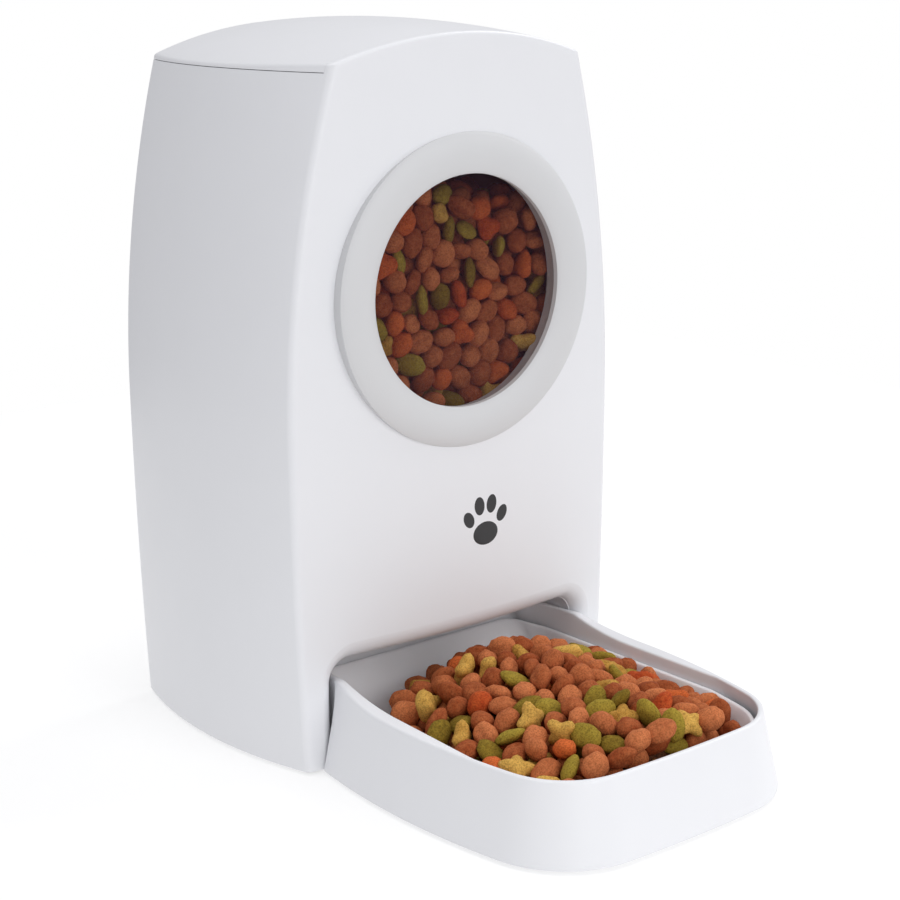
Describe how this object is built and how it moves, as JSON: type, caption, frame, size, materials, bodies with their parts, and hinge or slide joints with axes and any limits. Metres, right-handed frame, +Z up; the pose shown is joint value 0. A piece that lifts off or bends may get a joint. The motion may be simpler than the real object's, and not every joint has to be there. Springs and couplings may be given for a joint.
{
  "type": "automatic pet feeder",
  "caption": "Counter-top dry food feeder: a barrel-sided body with a round window, hinged lid, motor-driven metering rotor and a wide bowl that slides out of the front.",
  "frame": {"origin": "under the middle of the object's box, on the surface that it stands on", "axes": "+X to the viewer's right from the front, +Y to the back, +Z up; the bowl reaches towards -Y"},
  "size_m": [0.2, 0.2864, 0.3175],
  "materials": {
    "white_plastic": "satin white",
    "grey_trim": "satin light grey",
    "smoke_lens": "clear, smoke tinted",
    "grey_rubber": "matt",
    "inner_plastic": "matt",
    "tank_plastic": "satin",
    "bronze": "satin",
    "steel": "satin",
    "orange_plastic": "matt",
    "gear_plastic": "matt",
    "board_green": "satin",
    "black_plastic": "matt",
    "cell_wrap": "gloss",
    "light_pipe": "gloss",
    "seal_silicone": "matt"
  },
  "bodies": {
    "body": {"housing_shell": "white_plastic", "bay_surround": "white_plastic", "window_bezel": "grey_trim", "window_lens": "smoke_lens", "rear_cover": "white_plastic", "base_plate": "white_plastic", "rubber_feet": "grey_rubber", "bay_frame": "inner_plastic", "food_tank": "tank_plastic", "tank_funnel": "tank_plastic", "dosing_chamber": "inner_plastic", "dosing_cover": "inner_plastic", "outlet_chute": "inner_plastic", "gear_plate": "inner_plastic", "shaft_bushes": "bronze", "idler_pin": "steel", "drive_motor": "steel", "motor_screws": "steel", "circuit_board": "board_green", "board_parts": "black_plastic", "power_socket": "black_plastic", "battery_holder": "black_plastic", "battery_cells": "cell_wrap", "battery_contacts": "steel", "door_pin": "steel", "button_dome": "steel", "switch_board": "board_green", "status_light": "light_pipe", "lid_hinge_pin": "steel", "cover_screws": "steel", "base_screws": "steel"},
    "lid": {"lid": "white_plastic", "lid_seal": "seal_silicone", "desiccant_box": "white_plastic", "desiccant_cover": "grey_trim"},
    "bowl": {"bowl_tray": "white_plastic", "bowl_basin": "white_plastic", "bowl_pads": "grey_rubber"},
    "rotor": {"rotor_shaft": "steel", "paddle_rotor": "orange_plastic", "stirrer": "orange_plastic", "rotor_gear": "gear_plastic"},
    "idler": {"idler_gear": "gear_plastic"},
    "pinion": {"motor_shaft": "steel", "motor_pinion": "bronze"},
    "battery_door": {"battery_door": "white_plastic"},
    "feed_button": {"feed_button": "grey_trim"}
  },
  "joints": [
    {"name": "lid_hinge", "type": "hinge", "parent": "body", "child": "lid", "pos_m": [0, 0.1402, 0.299], "axis": [-1, 0, 0], "range_deg": [0, 100]},
    {"name": "bowl_slide", "type": "slide", "parent": "body", "child": "bowl", "axis": [0, -1, 0], "range_m": [0, 0.06]},
    {"name": "rotor_spin", "type": "hinge", "parent": "body", "child": "rotor", "pos_m": [0, 0.0668, 0.09], "axis": [0, 0, 1], "continuous": true},
    {"name": "idler_spin", "type": "hinge", "parent": "body", "child": "idler", "pos_m": [0.03686, 0.09261, 0.075], "axis": [0, 0, 1], "continuous": true},
    {"name": "pinion_spin", "type": "hinge", "parent": "body", "child": "pinion", "pos_m": [0.05036, 0.11599, 0.075], "axis": [0, 0, 1], "continuous": true},
    {"name": "battery_door_hinge", "type": "hinge", "parent": "body", "child": "battery_door", "pos_m": [-0.0285, 0.1355, 0.0103], "axis": [-1, 0, 0], "range_deg": [0, 90]},
    {"name": "feed_button_press", "type": "slide", "parent": "body", "child": "feed_button", "axis": [0, -1, 0], "range_m": [0, 0.0015], "stiffness_N_per_m": 300, "springref_m": -0.001}
  ],
  "couplings": [
    {"joint": "idler_spin", "follows": "rotor_spin", "ratio": -1.5},
    {"joint": "pinion_spin", "follows": "rotor_spin", "ratio": 3}
  ]
}
